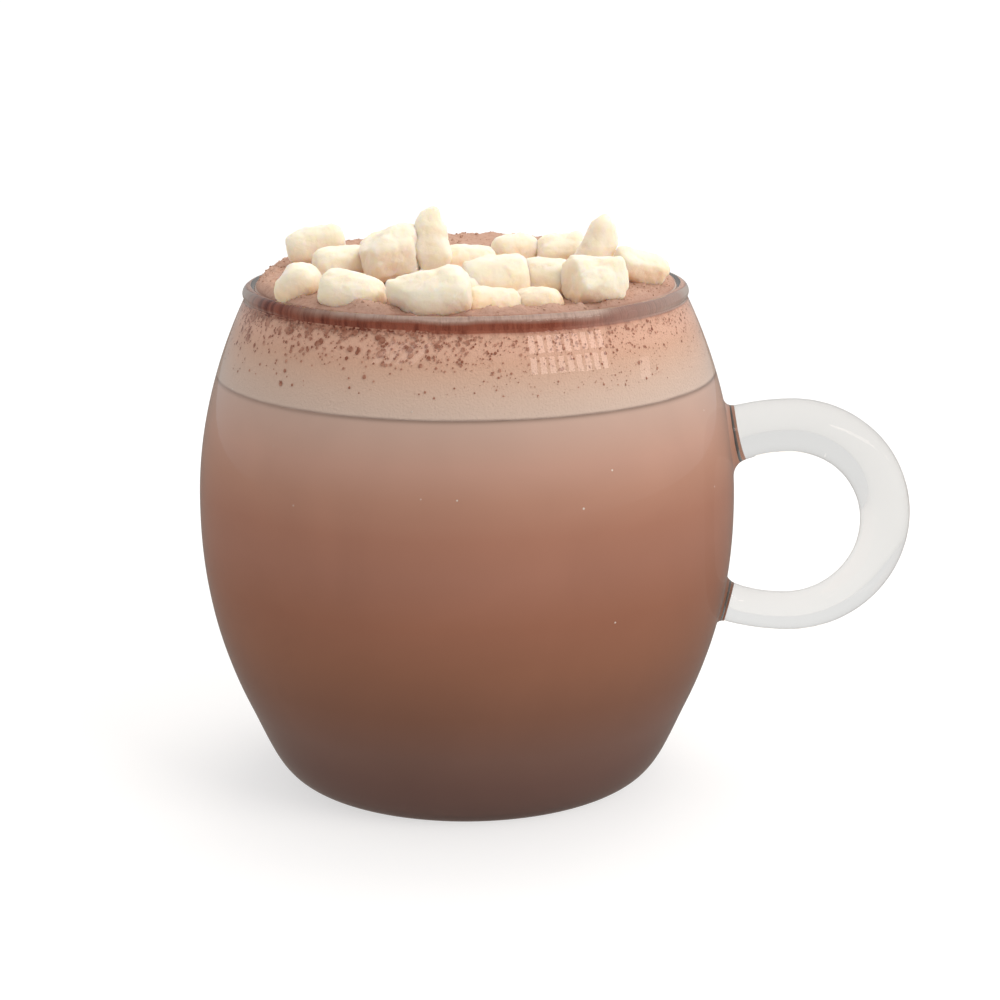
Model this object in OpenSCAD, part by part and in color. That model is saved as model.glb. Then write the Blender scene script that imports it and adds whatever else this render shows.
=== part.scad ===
// Hot chocolate in a round-bellied glass mug, topped with foam and small marshmallows.
// Millimetres. +Z is up, the origin is the middle of the mug's foot, and the handle is on +X.

/* [Mug] */
// Height of the mug at its lip
mug_h = 86; // [72:1:104]
// Widest diameter of the belly
belly_d = 92; // [82:1:112]
// Height of the widest ring above the table
belly_h = 48.5; // [40:0.5:58]
// Outer diameter of the lip
lip_d = 75.4; // [62:0.2:84]
// How far the lip's bead stands out from the side below it
lip_proud = 0.3; // [0:0.1:0.6]
// Thickness of the rounded bead round the lip
bead_t = 2.5; // [1.8:0.1:3.2]
// Diameter of the flat that the mug stands on
foot_d = 55.4; // [44:0.2:66]
// Diameter at the top of the rounded bottom corner
corner_d = 77.4; // [70:0.2:81]
// Height of the rounded bottom corner
corner_h = 13.8; // [9:0.2:18]
// Thickness of the glass in the side
wall_t = 2.2; // [1.6:0.1:3.2]
// Thickness of the glass under the drink
floor_t = 3; // [2:0.1:6]

/* [Handle] */
// Radius of the handle's ring, to the middle of the rod
ring_r = 16.6; // [13:0.2:20]
// Height of the middle of the ring above the table
ring_h = 44.3; // [36:0.1:54]
// Distance from the belly to the middle of the ring
ring_out = 9.9; // [6:0.1:14]
// Thickness of the rod on top of the ring
rod_top_t = 9.2; // [7:0.1:11.5]
// Thickness of the rod at the foot of the ring
rod_low_t = 6.5; // [5:0.1:9]
// Width of the rod across the handle, as a share of its thickness
rod_wide = 1.1; // [0.8:0.05:1.4]
// How much the rod spreads where it is melted to the wall
root_flare = 0.6; // [0:0.1:2]

/* [Drink] */
// Depth of the foam beside the glass, from the lip down to the drink
foam_depth = 15.7; // [8:0.1:28]
// Height of the foam above the lip in the middle
crown_h = 2.6; // [2:0.1:5]
// How much higher than that the foam is at the back, and lower at the front
crown_back = 2.3; // [-1:0.1:2.5]
// How much higher it is away from the handle, and lower beside it
crown_left = 0.7; // [-1:0.1:1]
// How squarely the foam rises beside the lip, where more is squarer
crown_square = 10; // [3:1:14]
// Height of the soft lumps in the foam
lump_h = 0.3; // [0:0.1:0.6]

/* [Marshmallows] */
// Length of a whole marshmallow
marshmallow_l = 13; // [9:0.1:16]
// Diameter of a whole marshmallow
marshmallow_d = 7.5; // [5.5:0.1:9.5]
// Gap between a marshmallow and what it is pressed into
press_gap = 0.1; // [0.05:0.05:0.3]

/* [Hidden] */
// One row for each marshmallow: [place, size, turn, ends, square]
//   place  [across, back] as shares of the heap's reach, then the middle's height above
//          the foam as a share of a diameter
//   size   [length, width, thickness] as shares of a whole marshmallow's
//   turn   [roll, tip, yaw] in degrees
//   ends   how wide the -X and +X ends are beside the middle
//   square how blocky it is: 2 is round, 5 is nearly a block
MARSHMALLOWS = [
    [[-0.89, 0.07, 0.40], [0.74, 0.76, 0.76], [0, -14, 12], [0.95, 1.0], 2.6],
    [[-0.71, -0.30, 0.20], [0.70, 0.95, 0.90], [0, 0, 20], [0.9, 1.0], 2.4],
    [[-0.93, -0.60, 0.06], [0.56, 0.90, 0.94], [0, 0, 78], [1.0, 0.9], 2.3],
    [[-0.61, -0.87, 0.08], [0.80, 1.00, 1.06], [0, 6, -18], [1.0, 0.72], 2.4],
    [[-0.41, -0.43, 0.56], [0.78, 1.10, 1.12], [10, -8, 12], [0.9, 1.0], 4.0],
    [[-0.49, -0.10, 0.42], [0.55, 0.70, 0.75], [0, -15, 30], [0.85, 1.0], 2.6],
    [[-0.20, -0.40, 0.66], [0.94, 0.90, 0.90], [0, -92, 20], [1.0, 0.50], 2.8],
    [[-0.19, -1.06, 0.26], [1.02, 1.02, 1.08], [12, -5, -6], [0.8, 0.95], 2.6],
    [[0.02, -0.10, 0.12], [0.70, 0.90, 0.88], [0, 0, 10], [0.95, 0.95], 2.5],
    [[0.18, -0.66, 0.28], [0.82, 1.10, 1.02], [6, 0, 4], [1.0, 1.0], 3.4],
    [[0.30, 0.12, 0.22], [0.60, 0.78, 0.80], [0, 0, 35], [0.95, 0.9], 2.4],
    [[0.58, 0.12, 0.27], [0.72, 0.90, 0.80], [20, -4, 8], [0.95, 0.85], 3.4],
    [[0.77, -0.18, 0.58], [0.84, 1.00, 0.85], [10, -70, 0], [1.1, 0.6], 2.4],
    [[0.47, -0.58, 0.20], [0.68, 0.90, 0.90], [0, 0, -15], [0.95, 0.95], 2.4],
    [[0.73, -0.76, 0.34], [0.78, 1.10, 1.00], [8, 0, 28], [1.0, 0.9], 3.8],
    [[1.01, -0.26, 0.26], [0.62, 0.95, 0.85], [10, 18, 20], [0.7, 0.9], 2.8],
    [[0.16, -0.92, -0.14], [0.66, 0.88, 0.86], [0, 0, 10], [0.95, 0.9], 2.3],
    [[0.41, -0.88, -0.14], [0.62, 0.88, 0.86], [0, 0, -20], [0.9, 0.95], 2.3],
    [[0.02, -0.72, 0.00], [0.60, 0.85, 0.85], [0, 0, 70], [0.95, 0.9], 2.4],
    [[-0.36, 0.28, 0.12], [0.74, 0.88, 0.86], [0, 0, 15], [0.95, 1.0], 2.4],
    [[0.66, 0.46, -0.12], [0.74, 0.88, 0.86], [0, 0, -25], [0.95, 1.0], 2.4],
    [[-0.34, 0.74, -0.08], [0.74, 0.88, 0.86], [0, 0, 50], [1.0, 0.95], 2.4],
];
$fn = 96;

belly_r = belly_d / 2;
corner_r = corner_d / 2;
bead_r = bead_t / 2;
bead_at = [lip_d / 2 - bead_r, mug_h - bead_r];
mouth_r = lip_d / 2 - bead_t;
foam_line_h = mug_h - foam_depth;

// The side meets the bead a little below the bead's middle.
NECK_DROP = 0.85;
neck_h = mug_h - NECK_DROP * bead_t;
neck_r = lip_d / 2 - lip_proud;

// Powers of the side's two curves, and the pulls of the corner's curve as shares of its height.
HIGH_POWER = 2;
LOW_POWER = 2.2;
FLAT_PULL = 0.42;
SIDE_PULL = 0.64;
CORNER_STEPS = 8;
SIDE_STEPS = 9;

function mix(a, b, share) = a + (b - a) * share;
function smooth(share) = share * share * (3 - 2 * share);
function clamp(value, low, high) = max(low, min(high, value));
function unit(v) = v / norm(v);

function side_low_r(z) = belly_r
    - (belly_r - corner_r) * pow((belly_h - z) / (belly_h - corner_h), LOW_POWER);
function side_high_r(z) = belly_r
    - (belly_r - neck_r) * pow((z - belly_h) / (neck_h - belly_h), HIGH_POWER);
function side_r(z) = z < belly_h ? side_low_r(z) : side_high_r(z);

corner_slope = LOW_POWER * (belly_r - corner_r) / (belly_h - corner_h);
corner_curve = [
    [foot_d / 2, 0],
    [foot_d / 2 + FLAT_PULL * corner_h, 0],
    [corner_r, corner_h] - SIDE_PULL * corner_h * unit([corner_slope, 1]),
    [corner_r, corner_h],
];
function bezier(p, t) = pow(1 - t, 3) * p[0] + 3 * pow(1 - t, 2) * t * p[1]
    + 3 * (1 - t) * t * t * p[2] + pow(t, 3) * p[3];

// The mug's outside, from the edge of the foot up to the bead.
outside = concat(
    [for (i = [0:CORNER_STEPS - 1]) bezier(corner_curve, i / CORNER_STEPS)],
    [for (i = [0:SIDE_STEPS - 1]) let (z = mix(corner_h, belly_h, i / SIDE_STEPS))
        [side_low_r(z), z]],
    [for (i = [0:SIDE_STEPS]) let (z = mix(belly_h, neck_h, i / SIDE_STEPS))
        [side_high_r(z), z]]
);

// The inside follows it one wall further in, and is level over the floor.
function run(points, i) = i == 0 ? [1, 0]
    : points[min(i + 1, len(points) - 1)] - points[i - 1];
function inset(points, depth) = [for (i = [0:len(points) - 1])
    let (along = unit(run(points, i))) points[i] + depth * [-along[1], along[0]]];
inside = [for (p = inset(outside, wall_t)) [p[0], max(p[1], floor_t)]];
function inside_r(z) = lookup(z, [for (p = inside) [p[1], p[0]]]);
inside_top = [bead_at[0] - bead_r / 2, bead_at[1]];
outside_top = [bead_at[0] + bead_r / 2, bead_at[1]];

module bead() {
    translate(bead_at) circle(r = bead_r);
}

module mug_body() {
    wall = concat(
        [[0, 0]], outside, [outside_top, inside_top],
        [for (i = [len(inside) - 1:-1:0]) inside[i]], [[0, floor_t]]
    );
    rotate_extrude() {
        polygon(wall);
        bead();
    }
}

// The handle is one rod bent to a ring. The half of the ring beside the mug is drawn out
// towards the wall by ring_reach, and both ends stop in the middle of the wall.
RING_STRETCH = 1.42;
ROD_SIDES = 16;
ROD_RINGS = 30;
FLARE_SHARE = 0.1;
TAPER_FROM = 0.25;
TAPER_TO = 0.95;
ring_x = belly_r + ring_out;
ring_reach = RING_STRETCH * ring_r;
function wall_middle_r(z) = side_r(z) - wall_t / 2;
// The angle at which the rod's centre line is in the wall, found in a few steps.
function root_angle(side, angle = 120, tries = 6) = tries == 0 ? angle
    : root_angle(side, acos((wall_middle_r(ring_h + side * ring_r * sin(angle)) - ring_x)
        / ring_reach), tries - 1);
top_angle = root_angle(1);
low_angle = root_angle(-1);
function rod_at(angle) = [
    ring_x + (abs(angle) > 90 ? ring_reach : ring_r) * cos(angle),
    ring_h + ring_r * sin(angle)
];
function rod_along(angle) = unit(rod_at(angle - 1) - rod_at(angle + 1));
function flare(share) = pow(max(0, 1 - min(share, 1 - share) / FLARE_SHARE), 2);
function rod_t(share) = root_flare * flare(share) + mix(rod_top_t, rod_low_t,
    smooth(clamp((share - TAPER_FROM) / (TAPER_TO - TAPER_FROM), 0, 1)));
function rod_ring(share) = let (
        angle = mix(top_angle, -low_angle, share),
        middle = rod_at(angle),
        along = rod_along(angle),
        r = rod_t(share) / 2
    ) [for (i = [0:ROD_SIDES - 1]) let (
        turn = 360 * i / ROD_SIDES,
        out = r * cos(turn)
    ) [middle[0] + along[1] * out, rod_wide * r * sin(turn), middle[1] - along[0] * out]];
function into_wall(points) = [for (p = points)
    [sqrt(pow(wall_middle_r(p[2]), 2) - p[1] * p[1]), p[1], p[2]]];

// A closed skin over rings of points, with a point at each end. Each ring turns
// right-handed about the way from the first point to the last.
function skin_faces(rings, sides) = let (first = rings * sides) concat(
    [for (k = [0:rings - 2], i = [0:sides - 1]) let (
            a = k * sides + i,
            b = k * sides + (i + 1) % sides
        ) each [[a, a + sides, b], [b, a + sides, b + sides]]],
    [for (i = [0:sides - 1]) [first, i, (i + 1) % sides]],
    [for (i = [0:sides - 1]) let (start = (rings - 1) * sides)
        [first + 1, start + (i + 1) % sides, start + i]]
);
module skin(rings, first, last) {
    polyhedron(
        points = concat([for (r = rings) each r], [first, last]),
        faces = skin_faces(len(rings), len(rings[0]))
    );
}

module handle() {
    rings = [for (k = [0:ROD_RINGS - 1]) let (ring = rod_ring(k / (ROD_RINGS - 1)))
        k == 0 || k == ROD_RINGS - 1 ? into_wall(ring) : ring];
    ends = [for (angle = [top_angle, -low_angle]) let (p = rod_at(angle))
        [wall_middle_r(p[1]), 0, p[1]]];
    skin(rings, ends[0], ends[1]);
}

module glass() {
    color([0.86, 0.88, 0.88, 0.45]) {
        mug_body();
        handle();
    }
}

module drink() {
    below = [for (p = inside) if (p[1] < foam_line_h) p];
    color([0.58, 0.38, 0.29])
    rotate_extrude()
    polygon(concat([[0, floor_t]], below,
        [[inside_r(foam_line_h), foam_line_h], [0, foam_line_h]]));
}

// The crown of foam starts part of the way up the bead's inner side, a hair away from it.
CROWN_START = 45;
CROWN_LEDGE = 0.2;
CROWN_RINGS = 10;
CROWN_SIDES = 48;
LUMP_TURN = [14, 11];
crown_from = bead_at + bead_r * [-cos(CROWN_START), sin(CROWN_START)];
crown_r = crown_from[0] - CROWN_LEDGE;
function crown_above_lip(x, y) = crown_h
    + (crown_back * y - crown_left * x) / crown_r
    + lump_h * sin(LUMP_TURN[0] * x) * cos(LUMP_TURN[1] * y);
// Height of the foam's top at a place in the mug's mouth.
function foam_top(x, y) = crown_from[1]
    + (mug_h - crown_from[1] + crown_above_lip(x, y))
    * sqrt(1 - pow(min(1, norm([x, y]) / crown_r), crown_square));

// The crown reaches down into the foam below it, so that they are one.
CROWN_ROOT = 1;
module crown() {
    root_h = crown_from[1] - CROWN_ROOT;
    rings = [for (k = [CROWN_RINGS:-1:1]) let (r = crown_r * sin(90 * k / CROWN_RINGS))
        [for (i = [0:CROWN_SIDES - 1]) let (
            x = r * cos(360 * i / CROWN_SIDES),
            y = r * sin(360 * i / CROWN_SIDES)
        ) [x, y, foam_top(x, y)]]];
    root_share = 1 - 2 * CROWN_ROOT / crown_r;
    root = [for (p = rings[0]) [p[0] * root_share, p[1] * root_share, root_h]];
    skin(concat([root], rings), [0, 0, root_h], [0, 0, foam_top(0, 0)]);
}

module foam() {
    above = [for (p = inside) if (p[1] > foam_line_h) p];
    color([0.78, 0.66, 0.6])
    difference() {
        union() {
            rotate_extrude()
            difference() {
                polygon(concat([[0, foam_line_h], [inside_r(foam_line_h), foam_line_h]],
                    above, [inside_top, crown_from, [0, crown_from[1]]]));
                bead();
            }
            crown();
        }
        for (i = [0:len(MARSHMALLOWS) - 1]) {
            if (is_sunk(i)) marshmallow_shape(i, press_gap);
        }
    }
}

// Each marshmallow is a rounded, slightly dented block, swept along its own X.
MARSHMALLOW_RINGS = 9;
MARSHMALLOW_SIDES = 12;
END_SQUARE = 4;
DENT = 0.05;
heap_reach = mouth_r - marshmallow_l / 2;
function marshmallow_size(i) = let (s = MARSHMALLOWS[i][1])
    [s[0] * marshmallow_l, s[1] * marshmallow_d, s[2] * marshmallow_d];
function marshmallow_at(i) = let (
        place = MARSHMALLOWS[i][0],
        x = place[0] * heap_reach,
        y = place[1] * heap_reach
    ) [x, y, foam_top(x, y) + place[2] * marshmallow_d];
function is_sunk(i) = let (at = marshmallow_at(i))
    at[2] - norm(marshmallow_size(i)) / 2 < foam_top(at[0], at[1]);
function may_touch(i, j) = norm(marshmallow_at(i) - marshmallow_at(j))
    < (norm(marshmallow_size(i)) + norm(marshmallow_size(j))) / 2;

function dented(i, turn, along) = 1
    + DENT * sin(2 * turn + 137 * i + 90 * along)
    + DENT / 2 * sin(3 * turn - 71 * i + 150 * along);
function block_r(turn, square) =
    pow(pow(abs(cos(turn)), square) + pow(abs(sin(turn)), square), -1 / square);
function marshmallow_ring(i, along, grow) = let (
        half = marshmallow_size(i) / 2,
        ends = MARSHMALLOWS[i][3],
        square = MARSHMALLOWS[i][4],
        round_end = pow(1 - pow(abs(along), END_SQUARE), 1 / END_SQUARE),
        wide = round_end * mix(ends[0], ends[1], (along + 1) / 2)
    ) [for (k = [0:MARSHMALLOW_SIDES - 1]) let (
        turn = 360 * k / MARSHMALLOW_SIDES,
        r = wide * block_r(turn, square) * dented(i, turn, along)
    ) [along * (half[0] + grow), cos(turn) * (half[1] * r + grow),
        sin(turn) * (half[2] * r + grow)]];

module marshmallow_shape(i, grow = 0) {
    end_x = marshmallow_size(i)[0] / 2 + grow;
    rings = [for (k = [1:MARSHMALLOW_RINGS - 1])
        marshmallow_ring(i, -cos(180 * k / MARSHMALLOW_RINGS), grow)];
    translate(marshmallow_at(i))
    rotate(MARSHMALLOWS[i][2])
    skin(rings, [-end_x, 0, 0], [end_x, 0, 0]);
}

// A soft marshmallow is pressed flat where it lies against an earlier one.
module marshmallow(i) {
    color([0.99, 0.92, 0.82])
    difference() {
        marshmallow_shape(i);
        for (j = [0:1:i - 1]) {
            if (may_touch(i, j)) marshmallow_shape(j, press_gap);
        }
    }
}

glass();
drink();
foam();
for (i = [0:len(MARSHMALLOWS) - 1]) {
    marshmallow(i);
}
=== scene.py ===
"""Hot chocolate in a round-bellied glass mug, with foam, cocoa dust and small marshmallows."""
import math
import random

import bpy
import numpy as np
from mathutils import Matrix, Vector, noise
from mathutils.bvhtree import BVHTree


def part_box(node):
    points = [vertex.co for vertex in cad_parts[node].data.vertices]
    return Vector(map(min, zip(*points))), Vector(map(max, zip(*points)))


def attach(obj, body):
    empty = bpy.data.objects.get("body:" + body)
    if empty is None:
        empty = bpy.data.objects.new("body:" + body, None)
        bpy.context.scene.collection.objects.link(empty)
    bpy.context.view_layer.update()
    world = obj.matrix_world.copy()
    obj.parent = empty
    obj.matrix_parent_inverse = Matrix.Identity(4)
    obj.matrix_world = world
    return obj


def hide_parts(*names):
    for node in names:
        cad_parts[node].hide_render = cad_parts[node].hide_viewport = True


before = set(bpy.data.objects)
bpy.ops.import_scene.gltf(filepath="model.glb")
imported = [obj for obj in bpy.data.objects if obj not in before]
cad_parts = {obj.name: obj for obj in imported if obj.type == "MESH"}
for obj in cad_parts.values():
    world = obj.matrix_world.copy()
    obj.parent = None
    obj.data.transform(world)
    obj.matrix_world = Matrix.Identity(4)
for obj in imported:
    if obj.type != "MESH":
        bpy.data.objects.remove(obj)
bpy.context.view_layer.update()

MM = 0.001
GLASS_LOW, GLASS_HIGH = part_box("glass")
DRINK_LOW, DRINK_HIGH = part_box("drink")

# The mug, in metres. Its side starts at the corner over the foot, is widest at the belly and
# ends at the neck, where the round bead of the lip begins.
MUG_H = GLASS_HIGH.z
FOOT_R = 27.7 * MM
CORNER_R, CORNER_H = 38.7 * MM, 13.8 * MM
BELLY_R, BELLY_H = -GLASS_LOW.x, 48.5 * MM
LIP_R = 37.7 * MM
LIP_PROUD = 0.3 * MM
BEAD_R = 1.25 * MM
BEAD_AT = (LIP_R - BEAD_R, MUG_H - BEAD_R)
NECK_R, NECK_H = LIP_R - LIP_PROUD, MUG_H - 1.7 * BEAD_R
WALL_T = 2.2 * MM
FLOOR_T = DRINK_LOW.z
FOAM_LINE_H = DRINK_HIGH.z
# Powers of the side's two curves, below and above the belly.
LOWER_CURVE, UPPER_CURVE = 2.2, 2
# How far the corner's curve runs on along the foot and the side, as shares of its height.
FOOT_PULL, SIDE_PULL = 0.42, 0.64
# A step along the side that is short enough to measure its slope.
STEP = 0.1 * MM

# The handle, in metres: a ring of round rod that is drawn out towards the mug, is thinner at
# its low root, flares a little at both and is a little wider across than it is thick.
RING_R = 16.6 * MM
RING_X, RING_H = BELLY_R + 9.9 * MM, 44.3 * MM
RING_STRETCH = 1.42
ROD_TOP_T, ROD_LOW_T = 9.2 * MM, 6.5 * MM
ROD_WIDE = 1.1
ROOT_FLARE = 0.6 * MM
# How far glass is drawn into the crease round each root.
MELT = 2.2 * MM

# What fills the mug reaches this far into its wall, so that no air shows between them.
INTO_WALL = 0.25 * MM

MARSHMALLOWS = 22

# Where the camera stands. The windows are hung by it, so that they show in the glass.
CAMERA_AT = Vector((5.65, -387.58, 143.89)) * MM


# ---------------------------------------------------------------- small tools

def linear(code):
    """An sRGB hex colour as the linear colour that the shaders take."""
    parts = [int(code[i:i + 2], 16) / 255 for i in (1, 3, 5)]
    curved = [p / 12.92 if p <= 0.04045 else ((p + 0.055) / 1.055) ** 2.4 for p in parts]
    return tuple(curved) + (1.0,)


def mix(a, b, share):
    """The value a share of the way from a to b."""
    return a + (b - a) * share


def smooth(share):
    """A share eased at both ends and kept between 0 and 1."""
    share = min(1.0, max(0.0, share))
    return share * share * (3 - 2 * share)


def add(tree, kind, inputs=None, **settings):
    """Adds a node. inputs holds a value, or another node's socket to link, for each input."""
    node = tree.nodes.new(kind)
    for name, value in settings.items():
        setattr(node, name, value)
    for key, value in (inputs or {}).items():
        if isinstance(value, bpy.types.NodeSocket):
            tree.links.new(value, node.inputs[key])
        else:
            node.inputs[key].default_value = value
    return node


def new_finish(name):
    """An empty material and its node tree."""
    finish = bpy.data.materials.new(name)
    finish.use_nodes = True
    finish.node_tree.nodes.clear()
    return finish, finish.node_tree


def fill_ramp(ramp, stops):
    """Gives a colour ramp its stops: [(place, hex), ...]."""
    while len(ramp.elements) > 1:
        ramp.elements.remove(ramp.elements[-1])
    ramp.elements[0].position = stops[0][0]
    ramp.elements[0].color = linear(stops[0][1])
    for place, code in stops[1:]:
        ramp.elements.new(place).color = linear(code)


def new_mesh(name, points, faces):
    """A smooth mesh from its points and faces."""
    mesh = bpy.data.meshes.new(name)
    mesh.from_pydata([tuple(p) for p in points], [], faces)
    mesh.validate()
    mesh.update()
    mesh.shade_smooth()
    return mesh


def new_object(name, data):
    """A mesh, lamp or camera placed in the scene."""
    thing = bpy.data.objects.new(name, data)
    bpy.context.scene.collection.objects.link(thing)
    return thing


def put_on(mesh, finish):
    """Gives a mesh one finish all over."""
    mesh.materials.clear()
    mesh.materials.append(finish)


def new_piece(name, mesh, finish, replaced=()):
    """A piece of the drink: placed, finished, and riding on the part's one body."""
    piece = new_object(name, mesh)
    put_on(mesh, finish)
    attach(piece, "root")
    if replaced:
        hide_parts(*replaced)
    return piece


def apply_modifiers(piece):
    """Makes what the modifiers give the piece's own mesh, in the finish that it had."""
    finish = piece.data.materials[0]
    graph = bpy.context.evaluated_depsgraph_get()
    graph.update()
    made = bpy.data.meshes.new_from_object(piece.evaluated_get(graph))
    put_on(made, finish)
    piece.modifiers.clear()
    piece.data = made


def points_of(mesh):
    """The places of a mesh's points, one row each."""
    co = np.empty(len(mesh.vertices) * 3)
    mesh.vertices.foreach_get("co", co)
    return co.reshape(-1, 3)


def set_points(mesh, co):
    """Moves a mesh's points to new places."""
    mesh.vertices.foreach_set("co", np.ascontiguousarray(co, dtype=np.float32).ravel())
    mesh.update()


def skin_of(piece):
    """A piece's faces in a tree that answers what a ray hits and what lies nearest."""
    mesh = piece.data
    return BVHTree.FromPolygons([v.co.copy() for v in mesh.vertices],
                                [tuple(f.vertices) for f in mesh.polygons])


def even_turns(count):
    """Evenly spaced angles round the axis."""
    return [2 * math.pi * i / count for i in range(count)]


def lathe(outline, turns):
    """Turns an outline of (radius, height) about the axis. Its ends lie on the axis."""
    points = [(0, 0, outline[0][1])]
    faces = []
    sides = len(turns)
    for r, z in outline[1:-1]:
        points += [(r * math.cos(a), r * math.sin(a), z) for a in turns]
    points.append((0, 0, outline[-1][1]))
    rows = len(outline) - 2
    for i in range(sides):
        j = (i + 1) % sides
        faces.append((0, 1 + j, 1 + i))
        for k in range(rows - 1):
            a = 1 + k * sides
            faces.append((a + i, a + j, a + sides + j, a + sides + i))
        last = 1 + (rows - 1) * sides
        faces.append((last + i, last + j, len(points) - 1))
    return points, faces


# ---------------------------------------------------------------- the mug's outline

def side_r(z):
    """Outer radius of the mug's side at a height above the bottom corner."""
    if z < BELLY_H:
        share = (BELLY_H - z) / (BELLY_H - CORNER_H)
        return BELLY_R - (BELLY_R - CORNER_R) * share ** LOWER_CURVE
    share = (z - BELLY_H) / (NECK_H - BELLY_H)
    return BELLY_R - (BELLY_R - NECK_R) * share ** UPPER_CURVE


def side_slope(z):
    """How fast the side's radius grows with height."""
    return (side_r(z + STEP) - side_r(z - STEP)) / (2 * STEP)


def filling_r(z):
    """Radius at a height of what fills the mug."""
    return side_r(z) - WALL_T + INTO_WALL


def bezier(p, t):
    """A point on the curve of four control points, from t = 0 to t = 1."""
    weights = ((1 - t) ** 3, 3 * (1 - t) ** 2 * t, 3 * (1 - t) * t * t, t ** 3)
    return tuple(sum(w * q[k] for w, q in zip(weights, p)) for k in (0, 1))


def outer_outline(corner_steps=26, side_steps=140):
    """The outside of the mug from the edge of its foot up to the bead."""
    slope = LOWER_CURVE * (BELLY_R - CORNER_R) / (BELLY_H - CORNER_H)
    pull = SIDE_PULL * CORNER_H / math.hypot(slope, 1)
    corner = [(FOOT_R, 0), (FOOT_R + FOOT_PULL * CORNER_H, 0),
              (CORNER_R - slope * pull, CORNER_H - pull), (CORNER_R, CORNER_H)]
    line = [bezier(corner, i / corner_steps) for i in range(corner_steps)]
    for i in range(side_steps + 1):
        z = mix(CORNER_H, NECK_H, i / side_steps)
        line.append((side_r(z), z))
    return line


def inner_outline(depth, lowest):
    """The outside moved inwards by a depth, and level over the floor of the mug."""
    line = outer_outline()
    moved = []
    for i, (r, z) in enumerate(line):
        before = line[max(i - 1, 0)]
        after = line[min(i + 1, len(line) - 1)]
        along = Vector((after[0] - before[0], after[1] - before[1])).normalized()
        if i == 0:
            along = Vector((1, 0))  # the foot is level
        r, z = r - depth * along.y, z + depth * along.x
        if z > lowest:
            moved.append((r, z))
    floor_r = moved[0][0] - (moved[0][1] - lowest)  # a 45 degree fillet down to the floor
    return [(floor_r, lowest)] + moved


def arc(centre, r, start, end, steps):
    """Points on an arc between two angles in degrees."""
    turns = [math.radians(mix(start, end, i / steps)) for i in range(steps + 1)]
    return [(centre[0] + r * math.cos(a), centre[1] + r * math.sin(a)) for a in turns]


# ---------------------------------------------------------------- the handle's rod

def rod_middle(angle):
    """The middle of the rod at an angle round the ring, as (x, z)."""
    reach = RING_R * (RING_STRETCH if math.cos(angle) < 0 else 1)
    return RING_X + reach * math.cos(angle), RING_H + RING_R * math.sin(angle)


def root_angle(side):
    """The angle at which the rod's middle line is in the middle of the wall, by closing in."""
    angle = math.radians(120)
    for _ in range(8):
        wall = side_r(RING_H + side * RING_R * math.sin(angle)) - WALL_T / 2
        angle = math.acos((wall - RING_X) / (RING_R * RING_STRETCH))
    return angle


TOP_ANGLE, LOW_ANGLE = root_angle(1), -root_angle(-1)


def rod_radius(share):
    """Half the rod's thickness a share of the way from its top root to its low one."""
    flare = max(0, 1 - min(share, 1 - share) / 0.1) ** 2
    thickness = mix(ROD_TOP_T, ROD_LOW_T, smooth((share - 0.25) / 0.7))
    return (ROOT_FLARE * flare + thickness) / 2


def rod_mesh(rings=150, sides=36):
    """The rod as a closed skin whose ends stop in the middle of the wall."""
    small_turn = 0.02
    points = []
    for k in range(rings):
        share = k / (rings - 1)
        angle = mix(TOP_ANGLE, LOW_ANGLE, share)
        x, z = rod_middle(angle)
        before, after = rod_middle(angle + small_turn), rod_middle(angle - small_turn)
        along = Vector((after[0] - before[0], after[1] - before[1])).normalized()
        r = rod_radius(share)
        for turn in even_turns(sides):
            out = r * math.cos(turn)
            p = Vector((x + along.y * out, ROD_WIDE * r * math.sin(turn), z - along.x * out))
            if k in (0, rings - 1):
                wall = side_r(p.z) - WALL_T / 2
                p.x = math.sqrt(wall * wall - p.y * p.y)
            points.append(p)
    for angle in (TOP_ANGLE, LOW_ANGLE):
        z = rod_middle(angle)[1]
        points.append(Vector((side_r(z) - WALL_T / 2, 0, z)))
    faces = []
    first, last = rings * sides, (rings - 1) * sides
    for i in range(sides):
        j = (i + 1) % sides
        faces.append((first, j, i))
        faces.append((first + 1, last + i, last + j))
        faces += [(k + i, k + j, k + sides + j, k + sides + i) for k in range(0, last, sides)]
    return new_mesh("rod", points, faces)


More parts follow.
